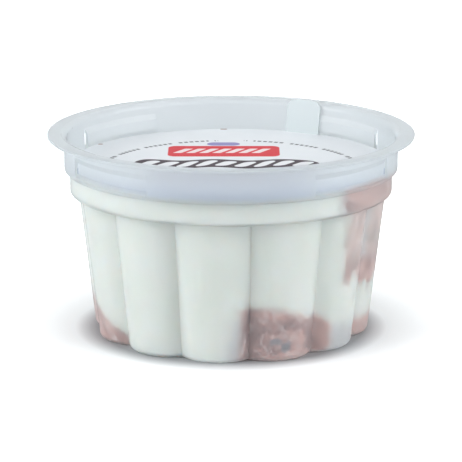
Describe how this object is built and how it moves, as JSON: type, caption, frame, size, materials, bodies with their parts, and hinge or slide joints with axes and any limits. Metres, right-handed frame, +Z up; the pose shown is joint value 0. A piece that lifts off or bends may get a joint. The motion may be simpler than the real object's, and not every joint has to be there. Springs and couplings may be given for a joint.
{
  "type": "ice cream cup",
  "caption": "Filled single-serve ice cream tub with a fluted translucent body, stepped rim, flat flange and a recessed lid with a folded pull tab.",
  "frame": {"origin": "on the table under the middle of the cup", "axes": "+Z up along the cup's axis, -Y the front, +X to the right seen from the front"},
  "size_m": [0.08, 0.08, 0.0446],
  "materials": {
    "cup_plastic": "natural translucent polypropylene, injection moulded, satin",
    "lid_board": null,
    "vanilla": "frozen vanilla ice cream, pale and slightly frosted",
    "chocolate": "frozen milk chocolate ice cream, soft edged"
  },
  "bodies": {
    "root": {"cup": "cup_plastic", "lid": "lid_board", "vanilla_ice_cream": "vanilla", "chocolate_ice_cream": "chocolate"}
  },
  "joints": []
}
